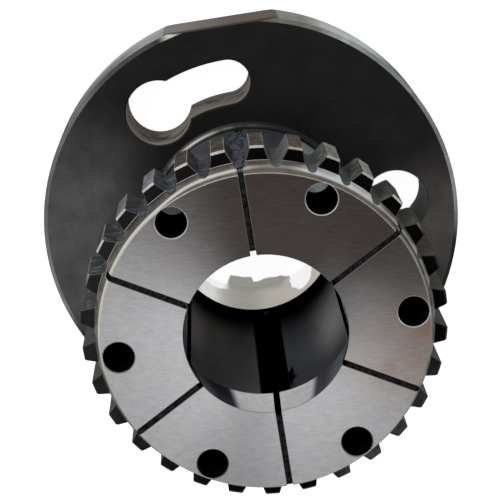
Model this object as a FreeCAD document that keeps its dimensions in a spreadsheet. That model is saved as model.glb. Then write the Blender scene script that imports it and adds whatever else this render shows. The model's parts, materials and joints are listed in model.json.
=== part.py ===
import FreeCAD, Part
import math
import os
import re
import Sketcher

# Expanding collet for internally toothed work.
# One hardened steel piece: a bayonet flange, a neck and a toothed gripping head slit into six fingers.
# Six sealing strips fill the slits.
# The axis is +Z. The origin lies on the axis in the back face of the flange.
# Angles run anticlockwise from +X, looking at the face of the head.

doc = FreeCAD.newDocument("expanding_collet")
sheet = doc.addObject("Spreadsheet::Sheet", "Sizes")

SIZES = (
    ("total_length", 130.0, "back of the flange to the face of the head"),
    ("run_out", 1.0, "how far a cutter runs past the surface it leaves"),
    ("flange_thickness", 22.0, "flange, front to back"),
    ("flange_across", 132.4, "round rim of the flange"),
    ("flange_bevel", 0.8, "both corners of the round rim"),
    ("flat_depth", 2.2, "locating flat, below the round rim"),
    ("neck_across", 63.0, "neck between flange and head"),
    ("root_reach", 2.0, "root of the neck in the flange, a hollow of two cones"),
    ("head_length", 23.75, "head, face to rear shoulder"),
    ("face_across", 84.2, "flat face of the head"),
    ("face_bevel", 0.2, "broken edge of the face"),
    ("collar_across", 87.8, "plain collar in front of the teeth"),
    ("lead_across", 87.1, "end of the steep lead-in cone"),
    ("lead_depth", 3.4, "steep lead-in cone, from the face"),
    ("ease_depth", 5.2, "slow cone that runs into the collar, from the face"),
    ("tooth_start", 7.2, "front of the teeth, from the face"),
    ("tooth_across", 95.2, "tips of the teeth"),
    ("tooth_bevel", 0.55, "both ends of the tooth tips"),
    ("tooth_count", 30, "teeth round the head"),
    ("gap_centre", 45.08, "centre of the round gap floor, from the axis"),
    ("gap_round", 1.93, "radius of the gap floor"),
    ("gap_angle", 24.0, "slope of a tooth flank to the middle of the gap"),
    ("gap_edge_break", 0.2, "bevel along the front edges of the flanks"),
    ("hole_count", 6, "plain holes through the head"),
    ("hole_circle", 76.0, "circle of the plain holes"),
    ("hole_across", 8.1, "plain holes"),
    ("hole_bevel", 0.25, "both ends of the plain holes"),
    ("mouth_across", 42.3, "tapered seat at the face"),
    ("taper_length", 24.5, "tapered seat, from the face"),
    ("bore_across", 51.0, "bore behind the tapered seat"),
    ("seat_across", 55.0, "locating bore in the flange"),
    ("seat_depth", 31.0, "locating bore, from the back"),
    ("seat_bevel", 0.5, "entry of the locating bore"),
    ("slit_count", 6, "slits between the fingers"),
    ("slit_width", 1.5, "slits"),
    ("slit_length", 94.0, "face of the head to the relief hole"),
    ("relief_across", 4.0, "relief hole at the end of each slit"),
    ("key_count", 3, "bayonet keyholes in the flange"),
    ("key_web", 2.75, "steel between the neck's root and the round ends"),
    ("key_across", 20.5, "round end that passes the screw head"),
    ("key_slot_width", 14.0, "slot that holds the screw"),
    ("key_angle", 120.0, "place of the first round end"),
    ("key_sweep", 29.5, "turn from the round end to the end of the slot"),
    ("key_bevel", 0.5, "front edge of the keyholes"),
    ("seal_face_gap", 0.25, "strip lies below the face of the head"),
    ("seal_bore_gap", 1.2, "strip stands back from the bore"),
    ("seal_skin_gap", 0.2, "strip lies below the outer surfaces"),
    ("plug_play", 0.05, "plug in its relief hole, all round"),
)

# These follow from the sizes above.
DERIVED = (
    ("flat_distance", "flange_across / 2 - flat_depth", "locating flat, from the axis"),
    ("key_circle", "neck_across + 2 * (root_reach + key_web) + key_across", "circle of the keyholes"),
    ("root_middle", "root_reach * (1 - cos(45))", "where the two cones of the neck's root meet"),
)
NAMES = [name for name, size, meaning in SIZES + DERIVED]

for line, (name, size, meaning) in enumerate(SIZES + DERIVED, 1):
    sheet.set("A%d" % line, name)
    sheet.set("B%d" % line, "=" + size if isinstance(size, str) else str(size))
    sheet.set("C%d" % line, meaning)
    sheet.setAlias("B%d" % line, name)
doc.recompute()


def sized(text):
    """An expression in which every size is read from the sheet."""
    return re.sub("[a-z_]+", lambda word: ("Sizes." if word.group() in NAMES else "") + word.group(), text)


def number(text):
    """What an expression comes to now."""
    return float(sheet.evalExpression(sized(text).replace("Sizes.", "")))


def origin_feature(body, role):
    return [item for item in body.Origin.OriginFeatures if item.Role == role][0]


def start_sketch(body, name, role, offset=""):
    """A sketch on one of the body's own planes, or at an offset from it."""
    sketch = body.newObject("Sketcher::SketchObject", name)
    sketch.AttachmentSupport = [(origin_feature(body, role), "")]
    sketch.MapMode = "FlatFace"
    if offset:
        sketch.setExpression("AttachmentOffset.Base.z", sized(offset))
    return sketch


def bind(sketch, kind, places, text):
    """A dimension in a sketch that follows the sheet."""
    value = number(text)
    if kind == "Angle":
        value = math.radians(value)
    index = sketch.addConstraint(Sketcher.Constraint(kind, *places, value))
    sketch.renameConstraint(index, "size_%d" % index)
    sketch.setExpression("Constraints.size_%d" % index, sized(text))


def pin(sketch, item, end, across, up):
    """Holds a point at two distances from the sketch's origin."""
    for kind, text, axis in (("DistanceX", across, -2), ("DistanceY", up, -1)):
        if text == "0":
            sketch.addConstraint(Sketcher.Constraint("PointOnObject", item, end, axis))
        else:
            bind(sketch, kind, (-1, 1, item, end), text)


def draw_outline(sketch, corners):
    """A closed outline of straight lines; each corner is a pair of expressions."""
    spots = [FreeCAD.Vector(number(across), number(up), 0) for across, up in corners]
    count = len(spots)
    for index in range(count):
        sketch.addGeometry(Part.LineSegment(spots[index], spots[(index + 1) % count]), False)
    for index in range(count):
        sketch.addConstraint(Sketcher.Constraint("Coincident", index, 2, (index + 1) % count, 1))
    for index, (across, up) in enumerate(corners):
        pin(sketch, index, 1, across, up)


def draw_circle(sketch, across, up, radius):
    middle = FreeCAD.Vector(number(across), number(up), 0)
    item = sketch.addGeometry(Part.Circle(middle, FreeCAD.Vector(0, 0, 1), number(radius)), False)
    pin(sketch, item, 3, across, up)
    bind(sketch, "Radius", (item,), radius)


def cut(body, name, sketch, length, reverse=False, both=False):
    """A pocket whose length follows the sheet."""
    pocket = body.newObject("PartDesign::Pocket", name)
    pocket.Profile = sketch
    pocket.Reversed = reverse
    pocket.SideType = "Symmetric" if both else "One side"
    pocket.setExpression("Length", sized(length))
    return pocket


def repeat(body, name, features, count):
    """The features again, evenly round the body's axis."""
    pattern = body.newObject("PartDesign::PolarPattern", name)
    pattern.Originals = features
    pattern.Axis = (origin_feature(body, "Z_Axis"), [""])
    pattern.Angle = 360
    pattern.Refine = False
    pattern.setExpression("Occurrences", sized(count))
    body.Tip = pattern
    doc.recompute()
    return pattern


def rings(feature, radius, height, circle="0"):
    """Round edges of one radius at one height, on the axis or on a circle round it."""
    found = []
    for index, edge in enumerate(feature.Shape.Edges, 1):
        curve = edge.Curve
        if not isinstance(curve, Part.Circle) or abs(curve.Radius - number(radius)) > 0.001:
            continue
        away = math.hypot(curve.Center.x, curve.Center.y)
        if abs(curve.Center.z - number(height)) < 0.001 and abs(away - number(circle) / 2) < 0.001:
            found.append("Edge%d" % index)
    return found


def level_edges(feature, height, inner, outer, turned=True):
    """Edges that lie flat at one height between two radii, with or without those round the axis."""
    found = []
    for index, edge in enumerate(feature.Shape.Edges, 1):
        box = edge.BoundBox
        curve = edge.Curve
        flat = abs(box.ZMin - number(height)) < 0.001 and box.ZLength < 0.001
        round_axis = isinstance(curve, Part.Circle) and math.hypot(curve.Center.x, curve.Center.y) < 0.001
        away = math.hypot(box.Center.x, box.Center.y)
        if flat and (turned or not round_axis) and number(inner) <= away <= number(outer):
            found.append("Edge%d" % index)
    return found


def bevel_edges(body, name, feature, edges, text):
    """A chamfer on chosen edges; its size follows the sheet."""
    item = body.newObject("PartDesign::Chamfer", name)
    item.Base = (feature, edges)
    item.setExpression("Size", sized(text))
    body.Tip = item
    doc.recompute()
    return item


# The collet body is turned first: flange, neck, head and bores in one outline.
collet = doc.addObject("PartDesign::Body", "collet_body")
collet.Label = "collet_body"

turned_outline = start_sketch(collet, "turned_outline", "XZ_Plane")
draw_outline(turned_outline, (
    ("seat_across / 2 + seat_bevel", "0"),
    ("flange_across / 2 - flange_bevel", "0"),
    ("flange_across / 2", "flange_bevel"),
    ("flange_across / 2", "flange_thickness - flange_bevel"),
    ("flange_across / 2 - flange_bevel", "flange_thickness"),
    ("neck_across / 2 + root_reach", "flange_thickness"),
    ("neck_across / 2 + root_middle", "flange_thickness + root_middle"),
    ("neck_across / 2", "flange_thickness + root_reach"),
    ("neck_across / 2", "total_length - head_length"),
    ("tooth_across / 2 - tooth_bevel", "total_length - head_length"),
    ("tooth_across / 2", "total_length - head_length + tooth_bevel"),
    ("tooth_across / 2", "total_length - tooth_start - tooth_bevel"),
    ("tooth_across / 2 - tooth_bevel", "total_length - tooth_start"),
    ("collar_across / 2", "total_length - tooth_start"),
    ("collar_across / 2", "total_length - ease_depth"),
    ("lead_across / 2", "total_length - lead_depth"),
    ("face_across / 2 + face_bevel", "total_length - face_bevel"),
    ("face_across / 2", "total_length"),
    ("mouth_across / 2", "total_length"),
    ("bore_across / 2", "total_length - taper_length"),
    ("bore_across / 2", "seat_depth"),
    ("seat_across / 2", "seat_depth"),
    ("seat_across / 2", "seat_bevel"),
))
turned = collet.newObject("PartDesign::Revolution", "turned")
turned.Profile = turned_outline
turned.ReferenceAxis = (turned_outline, ["V_Axis"])
turned.Angle = 360
doc.recompute()

# The locating flat is milled across the rim on the +Y side.
flat_outline = start_sketch(collet, "flat_outline", "XY_Plane")
draw_outline(flat_outline, (
    ("-flange_across / 2", "flat_distance"),
    ("flange_across / 2", "flat_distance"),
    ("flange_across / 2", "flange_across / 2 + run_out"),
    ("-flange_across / 2", "flange_across / 2 + run_out"),
))
cut(collet, "flat", flat_outline, "flange_thickness + run_out", reverse=True)

# Tooth gaps: a round floor runs tangent into two sloping flanks.
# Each gap is cut from the face through the collar to the rear shoulder.
gap_outline = start_sketch(collet, "gap_outline", "XY_Plane", "total_length")
slope = math.radians(number("gap_angle"))
middle = FreeCAD.Vector(0, number("gap_centre"), 0)
floor_circle = Part.Circle(middle, FreeCAD.Vector(0, 0, 1), number("gap_round"))
foot = FreeCAD.Vector(math.cos(slope), -math.sin(slope), 0) * number("gap_round")
top = number("tooth_across / 2 + run_out")
right_foot = middle + foot
left_foot = middle + FreeCAD.Vector(-foot.x, foot.y, 0)
right_top = FreeCAD.Vector(right_foot.x + (top - right_foot.y) * math.tan(slope), top, 0)
left_top = FreeCAD.Vector(-right_top.x, top, 0)
floor = gap_outline.addGeometry(Part.ArcOfCircle(floor_circle, math.pi + slope, 2 * math.pi - slope), False)
right_flank = gap_outline.addGeometry(Part.LineSegment(right_foot, right_top), False)
mouth = gap_outline.addGeometry(Part.LineSegment(right_top, left_top), False)
left_flank = gap_outline.addGeometry(Part.LineSegment(left_top, left_foot), False)
gap_outline.addConstraint([
    Sketcher.Constraint("PointOnObject", floor, 3, -2),
    Sketcher.Constraint("Tangent", floor, 2, right_flank, 1),
    Sketcher.Constraint("Tangent", floor, 1, left_flank, 2),
    Sketcher.Constraint("Coincident", right_flank, 2, mouth, 1),
    Sketcher.Constraint("Coincident", mouth, 2, left_flank, 1),
    Sketcher.Constraint("Symmetric", mouth, 1, mouth, 2, -2),
])
bind(gap_outline, "DistanceY", (-1, 1, floor, 3), "gap_centre")
bind(gap_outline, "Radius", (floor,), "gap_round")
bind(gap_outline, "Angle", (-1, right_flank), "90 - gap_angle")
bind(gap_outline, "DistanceY", (-1, 1, mouth, 1), "tooth_across / 2 + run_out")
gap = cut(collet, "gap", gap_outline, "head_length + run_out")
gap.Refine = False
gaps = repeat(collet, "gaps", [gap], "tooth_count")
flank_edges = level_edges(gaps, "total_length - tooth_start", "collar_across / 2", "tooth_across / 2", False)
bevel_edges(collet, "flank_bevels", gaps, flank_edges, "gap_edge_break")

# Plain holes run through the head only, each behind the middle of a tooth.
hole_outline = start_sketch(collet, "hole_outline", "XY_Plane", "total_length")
draw_circle(hole_outline, "hole_circle / 2", "0", "hole_across / 2")
hole = cut(collet, "hole", hole_outline, "head_length + run_out")
bevel_outline = start_sketch(collet, "bevel_outline", "XY_Plane", "total_length")
draw_circle(bevel_outline, "hole_circle / 2", "0", "hole_across / 2 + hole_bevel")
bevel = cut(collet, "bevel", bevel_outline, "hole_bevel")
bevel.TaperAngle = -45
holes = repeat(collet, "holes", [hole, bevel], "hole_count")
hole_ends = rings(holes, "hole_across / 2", "total_length - head_length", "hole_circle")
bevel_edges(collet, "hole_bevels", holes, hole_ends, "hole_bevel")

# Slits divide head and neck into six fingers; each one ends in a relief hole.
slit_outline = start_sketch(collet, "slit_outline", "YZ_Plane")
draw_outline(slit_outline, (
    ("mouth_across / 2 - run_out", "total_length - slit_length"),
    ("tooth_across / 2", "total_length - slit_length"),
    ("tooth_across / 2", "total_length + run_out"),
    ("mouth_across / 2 - run_out", "total_length + run_out"),
))
slit = cut(collet, "slit", slit_outline, "slit_width", both=True)
relief_outline = start_sketch(collet, "relief_outline", "XZ_Plane")
draw_circle(relief_outline, "0", "total_length - slit_length", "relief_across / 2")
relief = cut(collet, "relief", relief_outline, "neck_across / 2 + run_out")
slits = repeat(collet, "slits", [slit, relief], "slit_count")

# Bayonet keyholes: a round end lets the screw head in, a curved slot leads clockwise from it.
round_outline = start_sketch(collet, "round_outline", "XY_Plane", "flange_thickness")
draw_circle(round_outline, "key_circle / 2 * cos(key_angle)", "key_circle / 2 * sin(key_angle)",
            "key_across / 2")
round_end = cut(collet, "round_end", round_outline, "flange_thickness + run_out")

slot_outline = start_sketch(collet, "slot_outline", "XY_Plane", "flange_thickness")
start = math.radians(number("key_angle - key_sweep"))
stop = math.radians(number("key_angle"))
track = number("key_circle / 2")
half_width = number("key_slot_width / 2")


def arc(centre, radius, first, last):
    """An arc in the slot's sketch."""
    circle = Part.Circle(centre, FreeCAD.Vector(0, 0, 1), radius)
    return slot_outline.addGeometry(Part.ArcOfCircle(circle, first, last), False)


def at(radius, angle):
    return FreeCAD.Vector(radius * math.cos(angle), radius * math.sin(angle), 0)


outer = arc(FreeCAD.Vector(), track + half_width, start, stop)
side = slot_outline.addGeometry(
    Part.LineSegment(at(track + half_width, stop), at(track - half_width, stop)), False)
inner = arc(FreeCAD.Vector(), track - half_width, start, stop)
end = arc(at(track, start), half_width, start + math.pi, start + 2 * math.pi)
slot_outline.addConstraint([
    Sketcher.Constraint("Coincident", outer, 3, -1, 1),
    Sketcher.Constraint("Coincident", inner, 3, -1, 1),
    Sketcher.Constraint("Coincident", outer, 2, side, 1),
    Sketcher.Constraint("Coincident", side, 2, inner, 2),
    Sketcher.Constraint("Tangent", inner, 1, end, 1),
    Sketcher.Constraint("Tangent", end, 2, outer, 1),
])
bind(slot_outline, "Radius", (outer,), "(key_circle + key_slot_width) / 2")
bind(slot_outline, "Radius", (inner,), "(key_circle - key_slot_width) / 2")
bind(slot_outline, "DistanceX", (-1, 1, end, 3), "key_circle / 2 * cos(key_angle - key_sweep)")
bind(slot_outline, "DistanceX", (-1, 1, outer, 2), "(key_circle + key_slot_width) / 2 * cos(key_angle)")
bind(slot_outline, "DistanceX", (-1, 1, inner, 2), "(key_circle - key_slot_width) / 2 * cos(key_angle)")
slot = cut(collet, "slot", slot_outline, "flange_thickness + run_out")
keyholes = repeat(collet, "keyholes", [round_end, slot], "key_count")

# Front edges of the keyholes are bevelled.
key_edges = level_edges(keyholes, "flange_thickness", "(key_circle - key_across) / 2",
                        "(key_circle + key_across) / 2")
bevel_edges(collet, "key_bevels", keyholes, key_edges, "key_bevel")

# Sealing strips: one in each slit, with a plug in its relief hole.
strips = []
for turn in range(int(number("slit_count"))):
    strip = doc.addObject("PartDesign::Body", "slot_seal_%d" % (turn + 1))
    strip.Label = "slot_seal_%d" % (turn + 1)
    strip_outline = start_sketch(strip, "strip_outline_%d" % (turn + 1), "YZ_Plane")
    draw_outline(strip_outline, (
        ("bore_across / 2 + seal_bore_gap", "total_length - slit_length"),
        ("neck_across / 2 - seal_skin_gap", "total_length - slit_length"),
        ("neck_across / 2 - seal_skin_gap", "total_length - head_length + seal_skin_gap"),
        ("gap_centre - gap_round - seal_skin_gap", "total_length - head_length + seal_skin_gap"),
        ("gap_centre - gap_round - seal_skin_gap", "total_length - lead_depth"),
        ("face_across / 2 - seal_skin_gap", "total_length - seal_face_gap"),
        ("mouth_across / 2 + seal_bore_gap", "total_length - seal_face_gap"),
        ("bore_across / 2 + seal_bore_gap", "total_length - taper_length"),
    ))
    web = strip.newObject("PartDesign::Pad", "web_%d" % (turn + 1))
    web.Profile = strip_outline
    web.SideType = "Symmetric"
    web.setExpression("Length", sized("slit_width"))
    plug_outline = start_sketch(strip, "plug_outline_%d" % (turn + 1), "XZ_Plane",
                                "-(bore_across / 2 + seal_bore_gap)")
    draw_circle(plug_outline, "0", "total_length - slit_length", "relief_across / 2 - plug_play")
    plug = strip.newObject("PartDesign::Pad", "plug_%d" % (turn + 1))
    plug.Profile = plug_outline
    plug.Reversed = True
    plug.setExpression("Length", sized("(neck_across - bore_across) / 2 - seal_bore_gap - seal_skin_gap"))
    strip.setExpression("Placement.Rotation.Angle", "%d * 360 / Sizes.slit_count" % turn)
    strip.Tip = plug
    strips.append(strip)

doc.recompute()

# Every object has to be sound before a file is written.
for item in doc.Objects:
    if "Invalid" in item.State or "Error" in item.State:
        raise RuntimeError("%s is not sound: %s" % (item.Name, item.State))
for sketch in doc.findObjects("Sketcher::SketchObject"):
    if sketch.solve() != 0:
        raise RuntimeError("%s does not solve" % sketch.Name)

# Every cut has to take material away.
before = turned.Shape.Volume
for item in collet.Group:
    if item.isDerivedFrom("PartDesign::Pocket") or item.isDerivedFrom("PartDesign::PolarPattern"):
        if item.Shape.Volume > before - 0.5:
            raise RuntimeError("%s cuts nothing" % item.Name)
        before = item.Shape.Volume

os.makedirs("parts", exist_ok=True)
for item in [collet] + strips:
    shape = item.Shape
    if shape.isNull() or not shape.isValid() or len(shape.Solids) != 1:
        raise RuntimeError("%s is not one sound solid" % item.Label)
    shape.exportStep("parts/" + item.Label + ".step")
    print(item.Label, "%.0f mm3" % shape.Volume, len(shape.Faces), "faces")
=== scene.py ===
# %% [markdown]
# An expanding collet stands on its flange and is seen from above, almost down its axis.
# The solids come from the CAD model. They carry the true shape, and this script never changes them.
# Everything is in metres, in the CAD model's frame: +Z is the axis and the flat of the flange faces +Y.

# %% Load the CAD frame
import json
import math

import bmesh
import bpy
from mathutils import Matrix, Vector, noise


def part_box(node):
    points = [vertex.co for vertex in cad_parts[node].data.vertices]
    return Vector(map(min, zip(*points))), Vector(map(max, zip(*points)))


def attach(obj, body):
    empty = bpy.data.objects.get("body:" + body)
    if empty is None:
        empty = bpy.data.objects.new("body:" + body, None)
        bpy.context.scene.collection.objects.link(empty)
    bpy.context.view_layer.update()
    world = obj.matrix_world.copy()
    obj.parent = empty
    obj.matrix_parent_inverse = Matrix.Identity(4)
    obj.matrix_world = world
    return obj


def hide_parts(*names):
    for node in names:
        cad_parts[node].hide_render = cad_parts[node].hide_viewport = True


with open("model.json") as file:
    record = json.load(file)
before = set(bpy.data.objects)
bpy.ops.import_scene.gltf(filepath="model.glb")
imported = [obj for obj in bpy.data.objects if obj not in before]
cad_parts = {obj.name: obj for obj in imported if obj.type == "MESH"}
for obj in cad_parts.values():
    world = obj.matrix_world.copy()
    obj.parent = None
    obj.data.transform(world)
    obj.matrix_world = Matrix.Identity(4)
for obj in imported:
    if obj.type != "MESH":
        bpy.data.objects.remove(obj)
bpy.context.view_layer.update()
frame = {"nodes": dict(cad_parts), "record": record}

MM = 0.001

# %% [markdown]
# The finishes need the collet's sizes, because most of them change from place to place.
# What a mount or the box states is read from the frame, so that paint and metal agree.
# The rest are the CAD model's own sizes, written again here, with heights measured back from the face.

# %% Sizes of the collet
_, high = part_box("collet_body")
mounts = {mount["name"]: mount for mount in frame["record"]["mounts"]}
RIM = high.x
FLAT = high.y
FACE = high.z
FLANGE_FRONT = mounts["flange_keyholes"]["pos_m"][2]
KEY_TRACK = mounts["flange_keyholes"]["dims"]["pcd_mm"] / 2 * MM
KEY_RADIUS = mounts["flange_keyholes"]["dims"]["hole_r_mm"] * MM
HOLE_TRACK = mounts["head_holes"]["dims"]["pcd_mm"] / 2 * MM
HOLE_RADIUS = mounts["head_holes"]["dims"]["hole_r_mm"] * MM
BORE = mounts["mandrel_bore"]["dims"]["r_mm"] * MM
SEAT = mounts["locating_bore"]["dims"]["r_mm"] * MM
MOUTH = 21.15 * MM
NECK = 31.5 * MM
NECK_ROOT = 2.0 * MM
COLLAR = 43.9 * MM
TIP = 47.6 * MM
GAP_FLOOR = 43.15 * MM
TOOTH_FRONT = FACE - 7.2 * MM
HEAD_REAR = FACE - 23.75 * MM
TAPER_END = FACE - 24.5 * MM
SLIT_HALF = 0.75 * MM
TEETH = 30
FINGERS = 6
HEAD_HOLES = 6
print("rim radius %.1f mm, bore radius %.1f mm" % (RIM / MM, BORE / MM))

# %% [markdown]
# A material is a small network of nodes. Written as plain arithmetic it is far easier to read.
# Value wraps one socket, and each operator on it adds one Math node.
# Finish wraps one material, and its node method adds any other node.
# The Mix node keeps its sockets in sets, one set per kind of data, so they are picked by number.

# %% Arithmetic on sockets
MIX_FACTOR = 0
MIX_FIRST = 6
MIX_SECOND = 7
MIX_RESULT = 2


class Value:
    """A number, colour or vector that changes over the surface."""

    def __init__(self, finish, socket):
        self.finish = finish
        self.socket = socket

    def math(self, operation, first, second=0.0):
        return self.finish.node("ShaderNodeMath", {"operation": operation}, {0: first, 1: second})

    def __add__(self, other):
        return self.math("ADD", self, other)

    __radd__ = __add__

    def __sub__(self, other):
        return self.math("SUBTRACT", self, other)

    def __rsub__(self, other):
        return self.math("SUBTRACT", other, self)

    def __mul__(self, other):
        return self.math("MULTIPLY", self, other)

    def __truediv__(self, other):
        return self.math("DIVIDE", self, other)

    def __abs__(self):
        return self.math("ABSOLUTE", self)

    def root(self):
        return self.math("SQRT", self)

    def larger(self, other):
        return self.math("MAXIMUM", self, other)

    def wrap(self, period):
        return self.math("FLOORED_MODULO", self, period)


class Finish:
    """One material, made of a Principled shader and the nodes that feed it."""

    def __init__(self, name, metallic, roughness, **fixed):
        self.material = bpy.data.materials.new(name)
        self.material.use_nodes = True
        self.tree = self.material.node_tree
        self.shader = self.tree.nodes["Principled BSDF"]
        self.shader.inputs["Metallic"].default_value = metallic
        self.shader.inputs["Roughness"].default_value = roughness
        for socket, number in fixed.items():
            self.shader.inputs[socket.replace("_", " ")].default_value = number
        self.place = self.node("ShaderNodeTexCoord", output="Object")
        self.x, self.y, self.z = self.parts(self.place)
        self.radius = (self.x * self.x + self.y * self.y).root()
        turn = self.node("ShaderNodeMath", {"operation": "ARCTAN2"}, {0: self.y, 1: self.x})
        self.angle = (turn * math.degrees(1)).wrap(360)

    def node(self, kind, settings=None, sockets=None, output=0):
        """Adds a node. Settings go first, then each socket gets a value or a link."""
        made = self.tree.nodes.new(kind)
        for name, setting in (settings or {}).items():
            setattr(made, name, setting)
        for key, value in (sockets or {}).items():
            if isinstance(value, Value):
                self.tree.links.new(value.socket, made.inputs[key])
            else:
                made.inputs[key].default_value = value
        return Value(self, made.outputs[output])

    def parts(self, vector):
        split = self.node("ShaderNodeSeparateXYZ", sockets={0: vector}).socket.node
        return [Value(self, socket) for socket in split.outputs]

    def step(self, value, low, high):
        """0 below low, 1 above high, and a smooth rise between them."""
        settings = {"interpolation_type": "SMOOTHSTEP"}
        return self.node("ShaderNodeMapRange", settings, {
            "Value": value, "From Min": low, "From Max": high, "To Min": 0.0, "To Max": 1.0})

    def fall(self, value, low, high):
        """1 below low, 0 above high, and a smooth fall between them."""
        return 1 - self.step(value, low, high)

    def sector(self, middle, half, soft):
        """1 within a slice of the circle, fading at both sides. All in degrees."""
        away = abs((self.angle - middle + 180).wrap(360) - 180)
        return self.fall(away, half - soft, half + soft)

    def noise(self, size, detail=3.0, stretch=(1, 1, 1), turn=0.0, rough=0.5):
        """Noise with features of about the given size; stretch is per axis, turned about Z."""
        place = self.node("ShaderNodeMapping", {"vector_type": "TEXTURE"}, {
            "Vector": self.place, "Rotation": (0, 0, math.radians(turn)),
            "Scale": tuple(size * part for part in stretch)})
        return self.node("ShaderNodeTexNoise", None, {
            "Vector": place, "Scale": 1.0, "Detail": detail, "Roughness": rough})

    def blend(self, factor, first, second):
        """A mix of two colours; each is a Value or three sRGB numbers from 0 to 255."""
        colours = [item if isinstance(item, Value) else srgb(item) for item in (first, second)]
        return self.node("ShaderNodeMix", {"data_type": "RGBA"}, {
            MIX_FACTOR: factor, MIX_FIRST: colours[0], MIX_SECOND: colours[1]}, MIX_RESULT)

    def shade(self, colour, amount):
        """A colour made lighter or darker by a factor that changes over the surface."""
        grey = self.node("ShaderNodeCombineXYZ", sockets={0: amount, 1: amount, 2: amount})
        return self.node("ShaderNodeVectorMath", {"operation": "MULTIPLY"}, {0: colour, 1: grey})

    def bump(self, height, depth):
        sockets = {"Height": height, "Distance": depth, "Strength": 1.0}
        self.feed("Normal", self.node("ShaderNodeBump", None, sockets))

    def feed(self, socket, value):
        self.tree.links.new(value.socket, self.shader.inputs[socket])


def srgb(colour):
    """Screen numbers from 0 to 255 turned into the linear numbers that shaders use."""
    linear = []
    for part in colour:
        share = part / 255
        linear.append(((share + 0.055) / 1.055) ** 2.4 if part > 10 else share / 12.92)
    return (*linear, 1.0)


print("white is", [round(part, 3) for part in srgb((255, 255, 255))])

# %% [markdown]
# The camera stands where the photographer stood: above the face of the head and to the flat's side.
# A long lens keeps the perspective slight. The image is turned by a few degrees about the axis.

# %% Camera
CAMERA_PLACE = Vector((3.62, 133.47, 515.06)) * MM
CAMERA_AIM = Vector((-0.65, 22.81, 130.0)) * MM
IMAGE_TURN = math.radians(8.73)
FOCAL_LENGTH = 115.2

camera = bpy.data.objects.new("camera", bpy.data.cameras.new("camera"))
camera.data.lens = FOCAL_LENGTH
camera.data.sensor_width = 36
camera.data.clip_start = 0.01
camera.data.clip_end = 20
ahead = (CAMERA_AIM - CAMERA_PLACE).normalized()
right = ahead.cross(Vector((math.sin(IMAGE_TURN), math.cos(IMAGE_TURN), 0))).normalized()
above = right.cross(ahead)
turned = camera.matrix_world.to_3x3()
turned.col[0] = right
turned.col[1] = above
turned.col[2] = -ahead
camera.matrix_world = turned.to_4x4()
camera.location = CAMERA_PLACE
bpy.context.scene.collection.objects.link(camera)
bpy.context.scene.camera = camera
bpy.context.scene.view_settings.view_transform = "Standard"
print("camera is %.0f mm from the face" % ((CAMERA_PLACE - Vector((0, 0, FACE))).length / MM))

# %% [markdown]
# Ground and blackened steel lie side by side on this one piece, so its mesh needs several finishes.
# The CAD mesh is loose triangles. A copy is welded, its flat faces are joined again,
# and each face is given its finish by where it lies and which way it looks.

# %% Weld a copy of the collet
def welded_copy(node):
    """The CAD node's mesh with its triangles joined and its flat faces whole."""
    mesh = bmesh.new()
    mesh.from_mesh(frame["nodes"][node].data)
    bmesh.ops.remove_doubles(mesh, verts=mesh.verts, dist=0.002 * MM)
    bmesh.ops.dissolve_limit(
        mesh, angle_limit=math.radians(0.5), verts=mesh.verts, edges=mesh.edges, delimit={"NORMAL"})
    return mesh


collet_mesh = welded_copy("collet_body")
print("welded collet:", len(collet_mesh.faces), "faces")

# %% Which finish a face gets
FINISHES = (
    "ground_face", "face_edge", "lead_in", "collar", "gap_wall", "tooth_front", "tooth_land",
    "head_rear", "tooth_bevel", "flank_bevel", "neck", "neck_root", "blackened_flange",
    "flange_bevel", "rim", "key_wall", "key_bevel", "back", "seat", "bore", "taper",
    "hole_wall", "hole_edge", "slit_wall", "broken_edge")
LYING_FLAT = 0.95
CLOSE = 0.1 * MM


def spoke_distance(x, y, count, turn):
    """How far a point is from the nearest of some evenly turned radial planes."""
    step = math.tau / count
    angle = math.atan2(y, x) - turn
    off = angle - round(angle / step) * step
    return abs(math.hypot(x, y) * math.sin(off))


def hole_distance(x, y):
    """How far a point is from the nearest hole axis of the head."""
    step = math.tau / HEAD_HOLES
    angle = round(math.atan2(y, x) / step) * step
    return math.hypot(x - HOLE_TRACK * math.cos(angle), y - HOLE_TRACK * math.sin(angle))


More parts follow.
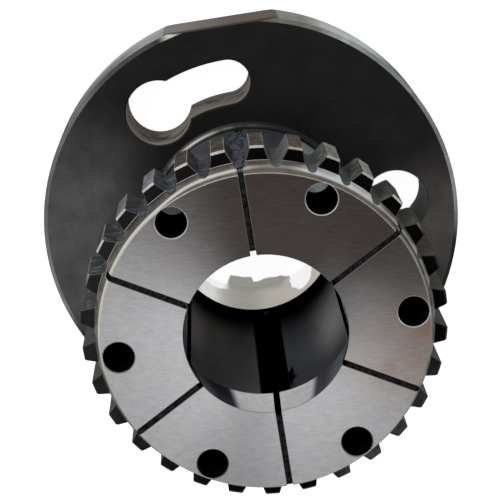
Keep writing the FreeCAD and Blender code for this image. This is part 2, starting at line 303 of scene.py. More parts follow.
def finish_of(centre, normal):
    """The name of the finish for a face of the collet."""
    x, y, z = centre
    radius = math.hypot(x, y)
    outward = (normal.x * x + normal.y * y) / radius
    level = abs(normal.z)
    if z > HEAD_REAR - 0.2 * MM and hole_distance(x, y) < HOLE_RADIUS + 0.3 * MM and level < LYING_FLAT:
        return "hole_wall" if level < 0.2 else "hole_edge"
    if level > LYING_FLAT:
        if z > FACE - CLOSE:
            return "ground_face"
        if abs(z - TOOTH_FRONT) < CLOSE:
            return "tooth_front"
        if abs(z - FLANGE_FRONT) < CLOSE:
            return "blackened_flange"
        return "head_rear" if z > TAPER_END - MM else "back"
    if z < FLANGE_FRONT + 0.01 * MM and radius > NECK + NECK_ROOT:
        if abs(radius - KEY_TRACK) > KEY_RADIUS + MM or radius > RIM - 5 * MM:
            return "flange_bevel" if level > 0.3 else "rim"
        return "key_bevel" if level > 0.3 else "key_wall"
    if z < FLANGE_FRONT + NECK_ROOT and radius > NECK:
        return "neck_root"
    if outward < -0.9:
        if z > TAPER_END:
            return "taper"
        return "seat" if radius > BORE + MM else "bore"
    if spoke_distance(x, y, FINGERS, math.pi / 2) < SLIT_HALF + CLOSE and radius < GAP_FLOOR:
        return "slit_wall"
    if z < HEAD_REAR:
        return "neck" if outward > 0.9 else "slit_wall"
    if z > FACE - 0.5 * MM and outward > 0.5 and radius < COLLAR:
        return "face_edge"
    if outward > 0.98 and radius > TIP - 0.3 * MM:
        return "tooth_land"
    if level > 0.4 and radius > COLLAR:
        return "tooth_bevel" if outward > 0.5 else "flank_bevel"
    if outward > 0.8 and level > 0.1 and radius < COLLAR:
        return "lead_in"
    if outward > 0.95 and z > TOOTH_FRONT and radius > COLLAR - 0.3 * MM:
        return "collar"
    return "gap_wall"


tally = {}
for face in collet_mesh.faces:
    name = finish_of(face.calc_center_median(), face.normal)
    face.material_index = FINISHES.index(name)
    tally[name] = tally.get(name, 0) + 1
print("faces by finish:", tally)

# %% [markdown]
# No machined edge is perfectly sharp. A Bevel modifier rounds off a tenth of a millimetre,
# and those narrow faces catch the light as the thin bright lines that make metal look like metal.

# %% Soften the edges
EDGE_BREAK = 0.12 * MM
SHARP_ANGLE = math.radians(50)
CREASE_ANGLE = math.radians(18)


def plain_object(name, mesh):
    """A new object at the origin that holds a bmesh."""
    data = bpy.data.meshes.new(name)
    for _ in FINISHES:
        data.materials.append(None)
    mesh.to_mesh(data)
    mesh.free()
    made = bpy.data.objects.new(name, data)
    bpy.context.scene.collection.objects.link(made)
    return made


def apply_modifiers(piece):
    """The evaluated mesh takes the place of the piece's mesh."""
    graph = bpy.context.evaluated_depsgraph_get()
    data = bpy.data.meshes.new_from_object(piece.evaluated_get(graph))
    piece.modifiers.clear()
    piece.data = data


def crease(piece):
    """Smooth faces with a hard line wherever two of them meet at more than the crease angle."""
    mesh = bmesh.new()
    mesh.from_mesh(piece.data)
    for face in mesh.faces:
        face.smooth = True
    for edge in mesh.edges:
        edge.smooth = len(edge.link_faces) == 2 and edge.calc_face_angle() < CREASE_ANGLE
    mesh.to_mesh(piece.data)
    mesh.free()


collet = plain_object("collet_steel", collet_mesh)
bevel = collet.modifiers.new("edge break", "BEVEL")
bevel.width = EDGE_BREAK
bevel.segments = 1
bevel.limit_method = "ANGLE"
bevel.angle_limit = SHARP_ANGLE
bevel.use_clamp_overlap = False
bevel.material = FINISHES.index("broken_edge")
apply_modifiers(collet)
crease(collet)
print("softened collet:", len(collet.data.polygons), "faces")

# %% [markdown]
# The face of the head is surface ground: fine straight streaks, brown where it turns from the light.
# Lamps alone can't give these slices of light and shade, because a ground face spreads them too widely,
# so they are laid into the tone. Noise stretched along the streaks makes grain, scuffs and scratches.

# %% Ground face
STREAK_TURN = -9


def ground_face():
    """Front of the head: painted slices of light and shade, brown patches and the grain over them."""
    made = Finish("ground face", 0.35, 0.42, Specular_IOR_Level=0.3)
    warmth = made.step(made.noise(16 * MM, 2), 0.4, 0.65)
    lit = made.blend(warmth, (202, 202, 207), (205, 203, 203))
    lit = made.blend(made.sector(250, 16, 14) * 0.5, lit, (150, 150, 153))
    lit = made.blend(made.sector(342, 22, 16) * 0.6, lit, (176, 167, 160))
    inner = made.fall(made.radius, 22 * MM, 33 * MM)
    outer = made.step(made.radius, 27 * MM, 40 * MM)
    turned_away = made.sector(65, 66, 38) - inner * made.sector(28, 16, 10) * 0.07
    tone = made.blend(turned_away, lit, (72, 65, 62))
    tone = made.blend(outer * made.sector(14, 14, 12) * 0.5, tone, (62, 50, 46))
    tone = made.blend(outer * made.sector(348, 15, 11) * 0.35, tone, (140, 104, 84))
    blotches = made.step(made.noise(7 * MM, 2), 0.4, 0.7) * made.sector(345, 16, 8)
    blotches = blotches * made.step(made.radius, 24 * MM, 34 * MM)
    tone = made.blend(blotches * 0.4, tone, (160, 116, 88))
    across = made.step(made.radius, MOUTH, COLLAR)
    streaks = made.noise(0.25 * MM, 4, (14, 1, 1), STREAK_TURN)
    grit = made.noise(0.3 * MM, 2)
    scuffs = made.noise(1.4 * MM, 5, (2, 1, 1), STREAK_TURN, 0.7)
    scratches = made.step(made.noise(0.3 * MM, 2, (40, 1, 1), STREAK_TURN + 31), 0.68, 0.76)
    light = 0.58 + streaks * 0.4 + grit * 0.25 + scuffs * 0.4 + scratches * 0.15 - across * 0.22
    long_lines = made.step(made.noise(0.17 * MM, 3, (24, 1, 1), STREAK_TURN), 0.42, 0.72) - 0.35
    light = light + long_lines * (turned_away * 0.24 + 0.04)
    made.feed("Base Color", made.shade(tone, light))
    made.bump(streaks, 0.004 * MM)
    return made.material


finishes = {"ground_face": ground_face()}
print("finishes so far:", len(finishes))

# %% [markdown]
# Every other part of the steel is one base tone with a few patches laid over it.
# A patch is a slice of the circle that the light reaches or leaves. It has a colour, a middle,
# a half width and a soft border, the last three in degrees. The plainest parts need no more than that.

# %% One base tone and its patches
def steel(name, base, patches=(), metallic=0.3, roughness=0.35, gloss=0.15, spread=0.3,
          grain=0.3, stretch=(1, 1, 1)):
    """Starts a finish and returns it with its tone, so that a maker can add to both.

    The spread says how strongly grain and clouds change the tone. The grain is in millimetres.
    """
    made = Finish(name, metallic, roughness, Specular_IOR_Level=gloss)
    warmer = (base[0] * 1.05, base[1], base[2] * 0.94)
    tone = made.blend(made.noise(9 * MM, 2), base, warmer)
    for colour, middle, half, soft in patches:
        tone = made.blend(made.sector(middle, half, soft), tone, colour)
    fine = made.step(made.noise(grain * MM, 4, stretch, rough=0.65), 0.3, 0.7)
    clouds = made.step(made.noise(4 * MM, 3), 0.3, 0.7)
    made.bump(fine, 0.006 * MM)
    return made, made.shade(tone, 1 - spread + (fine + clouds) * spread)


def painted(made, tone):
    """Ends a finish that needs nothing more than its tone."""
    made.feed("Base Color", tone)
    return made.material


def plain_steel(name, base, patches=(), **settings):
    """A whole finish of a base tone and its patches."""
    return painted(*steel(name, base, patches, **settings))


finishes["face_edge"] = plain_steel("face edge", (168, 164, 158), [((206, 204, 200), 150, 60, 30)])
finishes["head_rear"] = plain_steel("head rear", (40, 40, 42), metallic=0.0, roughness=0.5)
finishes["back"] = plain_steel("back", (130, 128, 126), spread=0.2, grain=0.6)
print("finishes so far:", len(finishes))

# %% [markdown]
# Behind the face a polished cone leads the work in, and a plain collar carries the teeth.
# The polish mirrors a strip of the studio as one bright line. A mirror finish would need that whole
# studio built round it, so the line is laid into the tone at its own depth below the face.

# %% Lead-in and collar
def lead_in():
    """Polished cone behind the face. A painted bright reflection runs along it, lower on the right."""
    made, tone = steel("lead in", (110, 106, 101), [
        ((150, 148, 145), 320, 30, 20),
        ((138, 136, 132), 15, 15, 8),
        ((88, 85, 82), 128, 10, 8)], grain=0.6)
    depth = FACE - made.z
    rise = made.step(made.angle, 80, 96) * 0.6 + made.step(made.angle, 106, 124) * 1.4
    line = made.fall(abs(depth + rise * MM - 2.8 * MM), 0.2 * MM, 1.05 * MM)
    bright = made.sector(122, 66, 12) - made.sector(79, 9, 6) * 0.75
    tone = made.blend(line * bright, tone, (236, 234, 226))
    # Painted reflections: a dark band on the right, a second bright line and a glare.
    dark_reflection = made.fall(abs(depth - 1.8 * MM), 0.25 * MM, 0.7 * MM)
    tone = made.blend(dark_reflection * made.sector(16, 24, 8), tone, (46, 44, 43))
    second = made.fall(abs(depth - 3 * MM), 0.2 * MM, 0.8 * MM)
    tone = made.blend(second * made.sector(26, 16, 8), tone, (186, 184, 180))
    glare = made.sector(54, 13, 9) * made.step(depth, 1.4 * MM, 2.6 * MM)
    return painted(made, made.blend(glare, tone, (240, 242, 242)))


finishes["lead_in"] = lead_in()
# The collar's patches are painted light and shade, and its near-white patch at 54 degrees is a painted
# highlight.
finishes["collar"] = plain_steel("collar", (104, 100, 95), [
    ((140, 136, 131), 10, 30, 10),
    ((252, 252, 250), 54, 11, 6),
    ((60, 59, 57), 127, 18, 10)], metallic=0.1, gloss=0.0)
print("finishes so far:", len(finishes))

# %% [markdown]
# Cutter marks and oil leave the fronts of the teeth nearly black, and the gaps are dark, so the lands
# and bevels stand out. Each tooth turns its own way to the light, so a number that depends on the tooth
# makes neighbours differ a little in painted light. The gaps also carry painted highlights and pale
# glints.

# %% Teeth
def tooth_land():
    """Outer lands of the teeth, each a little lighter or darker than the next."""
    made, tone = steel("tooth land", (92, 85, 79), [
        ((196, 190, 184), 49, 5, 2),
        ((152, 149, 144), 60, 5, 2),
        ((86, 80, 75), 105, 10, 3),
        ((128, 129, 134), 129, 14, 3),
        ((86, 82, 79), 156, 6, 3)],
        metallic=0.0, gloss=0.0, spread=0.5, grain=1.6, stretch=(1, 1, 2))
    tooth = made.node("ShaderNodeMath", {"operation": "ROUND"}, {0: made.angle * (TEETH / 360)})
    luck = made.node("ShaderNodeTexWhiteNoise", {"noise_dimensions": "1D"}, {"W": tooth})
    return painted(made, made.shade(tone, 0.7 + luck * 0.6))


def gap_wall():
    """Milled flanks and floors of the gaps: dark, with painted blue-grey highlights and pale glints."""
    made, tone = steel("gap wall", (74, 73, 72), [
        ((57, 60, 65), 118, 40, 20),
        ((84, 82, 79), 46, 20, 12),
        ((106, 108, 107), 73, 9, 4)],
        metallic=0.0, gloss=0.03, spread=0.35, grain=1.4)
    # Painted blue-grey highlights, broken up by noise, on the upper side.
    blotches = made.step(made.noise(2.4 * MM, 5, rough=0.65), 0.48, 0.7) * made.sector(105, 62, 14)
    tone = made.blend(blotches, tone, (128, 133, 139))
    # Pale specks on the lit side are painted glints.
    specks = made.step(made.noise(0.45 * MM, 2), 0.62, 0.7) * made.sector(75, 62, 20)
    return painted(made, made.blend(specks, tone, (140, 142, 140)))


finishes["tooth_land"] = tooth_land()
finishes["gap_wall"] = gap_wall()
# The fronts are nearly black steel. Their lighter patches at the left and lower right are painted sheen.
finishes["tooth_front"] = plain_steel("tooth front", (7, 6, 6), [
    ((40, 38, 39), 172, 56, 40),
    ((60, 62, 66), 325, 13, 8),
    ((92, 94, 99), 301, 14, 7)],
    metallic=0.0, roughness=0.5, gloss=0.02, spread=0.4, grain=1.2)
finishes["tooth_bevel"] = plain_steel("tooth bevel", (34, 35, 38), [
    ((196, 192, 184), 57, 28, 8),
    ((215, 212, 206), 117, 37, 6)], metallic=0.5, roughness=0.3)
finishes["flank_bevel"] = plain_steel("flank bevel", (30, 31, 33), [
    ((96, 94, 92), 125, 50, 20),
    ((104, 101, 97), 46, 18, 8)], metallic=0.3, roughness=0.3)
print("finishes so far:", len(finishes))

# %% [markdown]
# The walls of the holes and slits are not ground, so they are dull and dark, and little light
# gets to them: their near-black tone is partly painted shade. The light edge round each hole
# is a chamfer of a few tenths of a millimetre, with a painted highlight over its upper side.

# %% Holes and slits
finishes["hole_wall"] = plain_steel("hole wall", (9, 9, 9), metallic=0.0, roughness=0.6, gloss=0.0)
finishes["hole_edge"] = plain_steel("hole edge", (122, 119, 114), [((198, 194, 188), 58, 76, 8)])
finishes["slit_wall"] = plain_steel("slit wall", (20, 20, 21), metallic=0.0, roughness=0.6, gloss=0.0)
print("finishes so far:", len(finishes))

# %% [markdown]
# The front of the flange is blackened and cloudy. It fades to a dull grey where the studio's light
# grazes it, at the left and the lower right, and darkens near the neck, which keeps the light off it.
# The hollow at the foot of the neck gets a painted highlight, broken up by noise, so it shows as a broken
# bright line.

# %% Neck and front of the flange
def neck_root():
    """Small hollow radius where the neck meets the flange; only its middle catches light."""
    made, tone = steel("neck root", (34, 35, 38))
    line = made.fall(abs(made.radius - NECK - 0.8 * MM), 0.1 * MM, 0.7 * MM)
    # A painted highlight along the hollow, broken up by noise and brightest at 117 degrees.
    sheen_patches = made.sector(110, 26, 24) * made.step(made.noise(6 * MM, 3), 0.3, 0.6)
    tone = made.blend(line * sheen_patches, tone, (112, 110, 105))
    return painted(made, made.blend(line * made.sector(117, 13, 9), tone, (150, 147, 140)))


def blackened_flange():
    """Front of the flange, with clouds and specks in the black."""
    made = Finish("blackened flange", 0.0, 0.5, Specular_IOR_Level=0.1)
    tone = made.blend(made.sector(178, 34, 20), (29, 28, 29), (86, 85, 85))
    tone = made.blend(made.sector(348, 16, 16), tone, (88, 84, 80))
    near = made.fall(made.radius, 33 * MM, 50 * MM)
    tone = made.blend(near * 0.8, tone, (15, 15, 16))
    clouds = made.noise(9 * MM, 5, rough=0.65)
    specks = made.noise(0.7 * MM, 2)
    made.feed("Base Color", made.shade(tone, 0.2 + clouds * 1.3 + specks * 0.3))
    return made.material


# The neck's pale patch at 48 degrees is a painted highlight.
finishes["neck"] = plain_steel("neck", (86, 91, 100), [((178, 190, 194), 48, 7, 4)], stretch=(1, 1, 6))
finishes["neck_root"] = neck_root()
finishes["blackened_flange"] = blackened_flange()
print("finishes so far:", len(finishes))

# %% [markdown]
# The rim, its bevel and the walls of the keyholes are bare steel. The rim is painted lighter near the
# back face, where the white bench shines on it, and its patches are painted light, shade and reflections.
# The flat is grey at its left end and brown at its right, with painted shade just below the bevel.
# The keyholes have stains, which are noise cut off at a level, because a stain has a border and plain
# noise has none.

# %% Rim and keyholes
def rim():
    """Ground rim, lighter toward the back face, with a brown cast on the flat."""
    made, tone = steel("rim", (150, 149, 147), [
        ((118, 122, 125), 27, 12, 6),
        ((206, 207, 209), 2, 9, 6),
        ((240, 246, 246), 53, 11, 6),
        ((178, 177, 172), 71, 4, 3),
        ((190, 194, 191), 109, 8, 5),
        ((84, 84, 84), 156, 13, 8)],
        metallic=0.1, gloss=0.0, spread=0.25, grain=0.5, stretch=(4, 4, 1))
    # Painted light near the back face, where the bench shines on the rim.
    low = made.fall(made.z, 3 * MM, 13 * MM)
    tone = made.blend(low * made.sector(116, 18, 8), tone, (212, 214, 216))
    # The flat is grey at its left end and brown at its right. Painted shade darkens it just below the
    # bevel.
    on_flat = made.step(made.y, FLAT - 0.5 * MM, FLAT - 0.2 * MM)
    brown = made.blend(made.step(made.x, -16 * MM, 6 * MM), (164, 159, 153), (132, 122, 113))
    under_bevel = made.step(made.z, FLANGE_FRONT - 4.5 * MM, FLANGE_FRONT - 2.5 * MM)
    brown = made.shade(brown, 1 - under_bevel * 0.6)
    return painted(made, made.blend(on_flat, tone, brown))


def key_wall():
    """Milled wall of a keyhole with stains across its middle."""
    # Painted shade darkens the walls on the right, and near the back face they are painted lighter there.
    made, tone = steel("key wall", (154, 147, 138), [((58, 58, 60), 5, 40, 20)], metallic=0.0, gloss=0.03)
    stain = made.step(made.noise(8 * MM, 4, (1, 1, 0.8), rough=0.6), 0.42, 0.62)
    middle = made.fall(abs(made.z - FLANGE_FRONT / 2), 4 * MM, 9 * MM)
    lines = made.noise(0.8 * MM, 3, (12, 12, 1))
    near_back = made.fall(made.z, 1 * MM, 9 * MM)
    tone = made.blend(near_back * made.sector(12, 26, 10), tone, (128, 125, 126))
    return painted(made, made.blend(stain * middle, made.shade(tone, 0.75 + lines * 0.5), (56, 47, 42)))


# The bevel's patches are painted light and shade, with a painted highlight at 104 degrees.
finishes["flange_bevel"] = plain_steel("flange bevel", (52, 50, 48), [
    ((205, 205, 202), 104, 2, 2),
    ((84, 82, 80), 119, 10, 4),
    ((112, 112, 111), 157, 28, 6),
    ((140, 142, 147), 190, 10, 6),
    ((150, 151, 153), 3, 12, 6),
    ((132, 137, 140), 36, 22, 8),
    ((168, 172, 173), 57, 6, 5),
    ((124, 121, 114), 70, 8, 4)], metallic=0.0, roughness=0.5, gloss=0.0)
finishes["rim"] = rim()
finishes["key_wall"] = key_wall()
finishes["key_bevel"] = plain_steel("key bevel", (40, 38, 36), [((84, 84, 86), 5, 40, 20)])
print("finishes so far:", len(finishes))

# %% [markdown]
# Through the mouth one looks down the seat for the cone, the bore and the locating bore.
# The bore has a black stripe along its lowest slit and painted reflections,
# and painted shade makes it darker with depth. The last ring, next to the bench,
# mirrors it in painted white reflections with a ragged border.

# %% Inside of the collet
def taper():
    """Seat for the cone: metallic and painted pale in its lit zone at 270 degrees."""
    made, tone = steel("taper", (84, 87, 95), [
        ((114, 114, 118), 214, 12, 8),
        ((68, 74, 87), 234, 8, 5),
        ((200, 200, 203), 269, 27, 3),
        ((112, 115, 123), 322, 12, 6)], gloss=0.0, spread=0.15, grain=2.0)
    made.feed("Metallic", made.sector(269, 27, 3) * 0.9)
    return painted(made, tone)


def bore():
    """Dark bore: painted reflections, palest halfway down on the right; black at the slit, painted shade
    deep down.
    """
    made, tone = steel("bore", (190, 193, 198), [
        ((255, 252, 252), 212, 10, 8),
        ((168, 170, 176), 252, 10, 8),
        ((138, 142, 152), 290, 14, 10),
        ((246, 250, 255), 327, 15, 12)], metallic=0.0, gloss=0.0, spread=0.15)
    # Painted reflections make the bore palest halfway down and dimmer towards the mouth.
    dim = made.blend(made.sector(300, 30, 8), (136, 136, 136), (78, 80, 84))
    tone = made.blend(made.step(made.z, 70 * MM, 104 * MM), tone, dim)
    ragged = made.noise(1.6 * MM, 4, (1, 1, 2.5), rough=0.75)
    stripe = made.sector(270, 9.5, 0.8)
    spot_turn = abs(made.angle - 281) / 4.5
    spot_rise = abs(made.z - 96 * MM) / (13 * MM)
    spot = made.fall(spot_turn + spot_rise + ragged * 2.4, 1.75, 1.95)
    tone = made.blend(stripe.larger(spot), tone, (4, 4, 4))
    # Painted shade turns it black deep down, where little light reaches.
    deep = made.step(made.z, 41 * MM, 64 * MM)
    return painted(made, made.blend(deep, (2, 2, 2), tone))


def seat():
    """Ground locating bore; it mirrors the bench, here and there quite white."""
    made, tone = steel("seat", (156, 154, 147), [
        ((206, 206, 203), 230, 8, 5),
        ((126, 123, 114), 256, 11, 9)], metallic=1.0, roughness=0.25, spread=0.1)
    ragged = made.noise(5 * MM, 2)
    # Painted shade darkens it next to the bench at the bottom, and painted white reflections lie at 300
    # and 233 degrees.
    low = made.fall(made.z, 1 * MM, 9 * MM)
    tone = made.blend(low * made.sector(266, 20, 3), tone, (112, 110, 102))
    aside = abs(made.angle - 299.5) / 10
    up = abs(made.z - 5 * MM) / (15 * MM)
    away = (aside * aside + up * up).root() + ragged * 0.3
    tone = made.blend(made.fall(away, 1.05, 1.17), tone, (244, 244, 244))
    corner = made.sector(233, 12, 3) * made.fall(made.z + ragged * 6 * MM, 9 * MM, 11 * MM)
    return painted(made, made.blend(corner, tone, (240, 240, 240)))


finishes["taper"] = taper()
finishes["bore"] = bore()
finishes["seat"] = seat()
print("finishes so far:", len(finishes))

# %% [markdown]
# The broken edges are one finish for the whole piece, made by the bevel above. What they catch
# depends on where they lie, so the finish paints it by place: painted highlights round the teeth,
# middling on the face and painted shade inside the slits and the bore.

# %% Broken edges
def broken_edge():
    """Edges rounded by hand, with a painted shine on the outside and painted shade inside slits and bore.
    """
    made, tone = steel("broken edge", (62, 60, 58), [((175, 172, 166), 118, 45, 20)],
                       metallic=0.0, gloss=0.0)
    on_face = made.step(made.z, FACE - 0.4 * MM, FACE - 0.2 * MM)
    inside = made.fall(made.radius, COLLAR - 2 * MM, COLLAR - MM)
    # Painted shade blackens the edges inside slits and bore. On the face they are middling, brighter at
    # its outer edge.
    tone = made.blend(inside, tone, made.blend(on_face, (5, 5, 5), (118, 114, 110)))
    outermost = made.step(made.radius, COLLAR - 2.2 * MM, COLLAR - 2 * MM)
    tone = made.blend(on_face * outermost, tone, (190, 186, 180))
    on_rim = made.step(made.radius, 58 * MM, 60 * MM)
    return painted(made, made.blend(on_rim, tone, (72, 70, 68)))


finishes["broken_edge"] = broken_edge()
print("finishes so far:", len(finishes))

# %% [markdown]
# The faces already know their finish by number, so the finishes only have to be put into that order.
# The dressed copy then takes the place of the bare solid.

# %% Dress the collet
for number, name in enumerate(FINISHES):
    collet.data.materials[number] = finishes[name]
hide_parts("collet_body")
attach(collet, "root")
print("finishes on the collet:", len(collet.data.materials))

# %% [markdown]
# The slits are filled with a dark rubber seal, poured and trimmed, so its skin is dull and uneven.
# Deep in the bore no light reaches it.

# %% Sealing rubber
def sealing_rubber():
    made = Finish("sealing rubber", 0.0, 0.55, Specular_IOR_Level=0.0)
    clouds = made.noise(1.2 * MM, 5, rough=0.7)
    tone = made.blend(made.step(clouds, 0.35, 0.7), (13, 13, 14), (44, 44, 46))
    # Pale patches near the collar, on the lit side, are painted sheen.
    sheen_patches = made.step(made.radius, COLLAR - 1.5 * MM, COLLAR - 0.9 * MM) * made.sector(50, 55, 20)
    tone = made.blend(sheen_patches * made.step(clouds, 0.3, 0.5), tone, (164, 166, 170))
    in_bore = made.step(made.radius, BORE + MM, BORE + 3 * MM)
    shown = in_bore.larger(made.step(made.z, FACE - 3 * MM, FACE - MM))
    made.feed("Base Color", made.blend(shown, (3, 3, 3), tone))
    made.bump(clouds, 0.05 * MM)
    return made.material


rubber = sealing_rubber()
for name, node in frame["nodes"].items():
    if name.startswith("slot_seal"):
        node.data.materials.clear()
        node.data.materials.append(rubber)
print("rubber on", sum(name.startswith("slot_seal") for name in frame["nodes"]), "seals")

# %% [markdown]
# Some sealant was squeezed out of the slit on the flat's side and dried on the neck,
# in the tooth gap and on the collar.
# A smear is a thin sheet bent round the axis. Noise makes it thick or thin,
# and where it is thinner than nothing it dips into the steel and ends.

# %% Dried sealant
def dried_sealant():
    made = Finish("dried sealant", 0.0, 0.45, Specular_IOR_Level=0.3)
    clouds = made.noise(1.6 * MM, 5, rough=0.75)
    tone = made.blend(made.step(clouds, 0.38, 0.62), (13, 14, 15), (94, 100, 110))
    made.feed("Base Color", tone)
    made.bump(clouds, 0.1 * MM)
    return made.material


sealant = dried_sealant()
SMEAR_TURN = 90
SMEAR_COLUMNS = 28
SMEAR_LEAST_ROWS = 12
SMEAR_ROW = 0.5 * MM
SMEAR_LUMPS = 2.2 * MM
DEEPEST_DIP = 0.1 * MM


def smear(name, radius, middle, low, high, half_width, thickness, seed):
    """A ragged sheet on a cylinder; half_width and the heights in metres, middle in degrees."""
    across = SMEAR_COLUMNS
    along = max(SMEAR_LEAST_ROWS, round((high - low) / SMEAR_ROW))
    points = []
    for row in range(along + 1):
        rise = row / along
        for column in range(across + 1):
            side = 2 * column / across - 1
            z = low + (high - low) * rise
            spot = Vector((side * half_width, z, seed * 0.1)) / SMEAR_LUMPS
            rough = noise.fractal(spot, 1.0, 2.0, 4)
            edge = (1 - side ** 2) * min(1, 6 * rise, 6 * (1 - rise))
            height = thickness * (edge * 1.1 - 0.45 + rough * 0.9)
            reach = radius + max(height, -DEEPEST_DIP)
            turn = math.radians(middle) - side * half_width / radius
            points.append((reach * math.cos(turn), reach * math.sin(turn), z))
    quads = []
    for row in range(along):
        for column in range(across):
            corner = row * (across + 1) + column
            quads.append((corner, corner + 1, corner + across + 2, corner + across + 1))
    data = bpy.data.meshes.new(name)
    data.from_pydata(points, [], quads)
    for face in data.polygons:
        face.use_smooth = True
    data.materials.append(sealant)
    made = bpy.data.objects.new(name, data)
    bpy.context.scene.collection.objects.link(made)
    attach(made, "root")
    return made


neck_smear = smear("sealant_on_neck", NECK, SMEAR_TURN, 25 * MM, 62 * MM, 3.2 * MM, 0.7 * MM, 1)
gap_smear = smear("sealant_in_gap", GAP_FLOOR + 0.1 * MM, SMEAR_TURN - 0.3, HEAD_REAR + 0.3 * MM,
                  FACE - 5.6 * MM, 2.6 * MM, 0.9 * MM, 2)
collar_smear = smear("sealant_on_collar", COLLAR - 0.2 * MM, SMEAR_TURN, FACE - 7.2 * MM, FACE - 2.6 * MM,
                     1.35 * MM, 0.6 * MM, 5)
smears = (neck_smear, gap_smear, collar_smear)
print("smears:", sum(len(piece.data.polygons) for piece in smears), "faces")

# %% [markdown]
# Crumbs lie about on the smears of the neck and the gap. Geometry Nodes scatter them: points
# on the faces, a small lump on each, turned and sized at random but always the same way.
# The Random Value node has a set of sockets per kind of data too, so those go by number as well.

# %% Crumbs
CRUMB_ACROSS = 0.5 * MM
CRUMBS_PER_M2 = 1.2e6
SMALLEST_CRUMB = 0.3
LARGEST_CRUMB = 1.0
FLOAT_MIN = 2
FLOAT_MAX = 3
FLOAT_RESULT = 1
VECTOR_MAX = 1
VECTOR_RESULT = 0


def crumbs_on(name, target, seed):
    """Lumps scattered over a piece, as a piece of their own."""
    tree = bpy.data.node_groups.new(name, "GeometryNodeTree")
    tree.interface.new_socket("Geometry", in_out="INPUT", socket_type="NodeSocketGeometry")
    size_input = tree.interface.new_socket("Size", in_out="INPUT", socket_type="NodeSocketFloat")
    seed_input = tree.interface.new_socket("Seed", in_out="INPUT", socket_type="NodeSocketInt")
    tree.interface.new_socket("Geometry", in_out="OUTPUT", socket_type="NodeSocketGeometry")
    start = tree.nodes.new("NodeGroupInput")
    spread = tree.nodes.new("GeometryNodeDistributePointsOnFaces")
    spread.inputs["Density"].default_value = CRUMBS_PER_M2
    lump = tree.nodes.new("GeometryNodeMeshIcoSphere")
    lump.inputs["Subdivisions"].default_value = 1
    sizes = tree.nodes.new("FunctionNodeRandomValue")
    sizes.data_type = "FLOAT"
    sizes.inputs[FLOAT_MIN].default_value = SMALLEST_CRUMB
    sizes.inputs[FLOAT_MAX].default_value = LARGEST_CRUMB
    turns = tree.nodes.new("FunctionNodeRandomValue")
    turns.data_type = "FLOAT_VECTOR"
    turns.inputs[VECTOR_MAX].default_value = (math.tau, math.tau, math.tau)
    placed = tree.nodes.new("GeometryNodeInstanceOnPoints")
    real = tree.nodes.new("GeometryNodeRealizeInstances")
    painted_lumps = tree.nodes.new("GeometryNodeSetMaterial")
    painted_lumps.inputs["Material"].default_value = sealant
    end = tree.nodes.new("NodeGroupOutput")
    for output, socket in (
            (start.outputs["Geometry"], spread.inputs["Mesh"]),
            (start.outputs["Seed"], spread.inputs["Seed"]),
            (start.outputs["Size"], lump.inputs["Radius"]),
            (start.outputs["Seed"], sizes.inputs["Seed"]),
            (start.outputs["Seed"], turns.inputs["Seed"]),
            (spread.outputs["Points"], placed.inputs["Points"]),
            (lump.outputs["Mesh"], placed.inputs["Instance"]),
            (sizes.outputs[FLOAT_RESULT], placed.inputs["Scale"]),
            (turns.outputs[VECTOR_RESULT], placed.inputs["Rotation"]),
            (placed.outputs["Instances"], real.inputs["Geometry"]),
            (real.outputs["Geometry"], painted_lumps.inputs["Geometry"]),
            (painted_lumps.outputs["Geometry"], end.inputs["Geometry"])):
        tree.links.new(output, socket)
    made = bpy.data.objects.new(name, target.data.copy())
    bpy.context.scene.collection.objects.link(made)
    scatter = made.modifiers.new("scatter", "NODES")
    scatter.node_group = tree
    scatter[size_input.identifier] = CRUMB_ACROSS / 2
    scatter[seed_input.identifier] = seed
    apply_modifiers(made)
    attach(made, "root")
    return made


neck_crumbs = crumbs_on("crumbs_on_neck", neck_smear, 3)
gap_crumbs = crumbs_on("crumbs_in_gap", gap_smear, 4)
print("crumbs:", len(neck_crumbs.data.polygons) + len(gap_crumbs.data.polygons), "faces")

# %% [markdown]
# The floor is white to the camera and in reflections, and dull white to the light, so it gives
# a clean background and yet doesn't flood the collet from below. The world is white to the camera
# too, and dimmer to the light. Two soft square lamps do the rest.

# %% Floor, lamps and world
FLOOR_HALF = 3.0
FLOOR_DROP = 0.1 * MM
LAMP_AIM = (0, 0, 0.1)
LAMP_SIZE = 0.5
WORLD_GLOW = 0.375


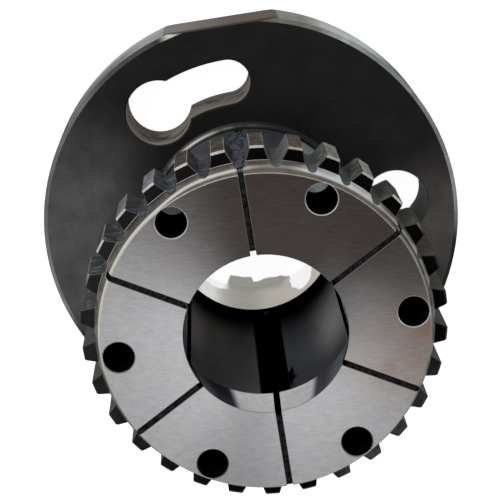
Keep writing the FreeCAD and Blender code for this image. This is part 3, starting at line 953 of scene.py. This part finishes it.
def white_floor():
    """Glows for the camera and in reflections; a ragged grey shade lies under the bore."""
    made = Finish("white floor", 0.0, 1.0, Emission_Strength=0.96, Specular_IOR_Level=0.0)
    paths = made.node("ShaderNodeLightPath").socket.node
    camera_ray = Value(made, paths.outputs["Is Camera Ray"])
    glossy_ray = Value(made, paths.outputs["Is Glossy Ray"])
    # In reflections the floor glows fully under the bore, a painted reflection for the seat, and at a
    # quarter elsewhere.
    under_bore = 1 - made.step(made.radius, SEAT + MM, SEAT + 7 * MM) * 0.75
    seen = camera_ray.larger(glossy_ray * under_bore)
    humps = made.sector(254.5, 9, 1) * 1.7 + made.sector(275, 5, 4) * 0.7
    ragged = humps - made.step(made.angle, 284, 290) * 1.2 + made.noise(2.5 * MM, 2) * 0.8
    shade = made.step(made.radius + ragged * MM, 26.1 * MM, 26.5 * MM)
    shade = shade * made.fall(made.radius, SEAT + MM, SEAT + 2 * MM) * made.sector(268, 22.5, 1)
    glow = made.blend(shade * camera_ray, (255, 255, 255), (150, 149, 144))
    made.feed("Emission Color", made.shade(glow, seen))
    made.feed("Base Color", made.blend(shade, (150, 150, 150), (40, 40, 40)))
    return made.material


floor_data = bpy.data.meshes.new("floor")
corners = [(-FLOOR_HALF, -FLOOR_HALF, 0), (FLOOR_HALF, -FLOOR_HALF, 0),
           (FLOOR_HALF, FLOOR_HALF, 0), (-FLOOR_HALF, FLOOR_HALF, 0)]
floor_data.from_pydata(corners, [], [(0, 1, 2, 3)])
floor_data.materials.append(white_floor())
floor = bpy.data.objects.new("floor", floor_data)
floor.location.z = -FLOOR_DROP
bpy.context.scene.collection.objects.link(floor)


def softbox(name, place, power):
    """A square lamp that looks at the head."""
    lamp = bpy.data.lights.new(name, "AREA")
    lamp.shape = "SQUARE"
    lamp.size = LAMP_SIZE
    lamp.energy = power
    made = bpy.data.objects.new(name, lamp)
    made.location = Vector(place)
    made.rotation_mode = "QUATERNION"
    made.rotation_quaternion = (Vector(LAMP_AIM) - Vector(place)).to_track_quat("-Z", "Y")
    bpy.context.scene.collection.objects.link(made)


softbox("key lamp", (-0.35, 0.45, 0.75), 4)
softbox("side lamp", (0.7, 0.1, 0.4), 1)
world = bpy.data.worlds.new("studio")
world.use_nodes = True
sky = world.node_tree.nodes["Background"]
paths = world.node_tree.nodes.new("ShaderNodeLightPath")
seen = world.node_tree.nodes.new("ShaderNodeMapRange")
seen.inputs["To Min"].default_value = WORLD_GLOW
seen.inputs["To Max"].default_value = 1.0
world.node_tree.links.new(paths.outputs["Is Camera Ray"], seen.inputs["Value"])
world.node_tree.links.new(seen.outputs["Result"], sky.inputs["Strength"])
sky.inputs["Color"].default_value = (1, 1, 1, 1)
bpy.context.scene.world = world
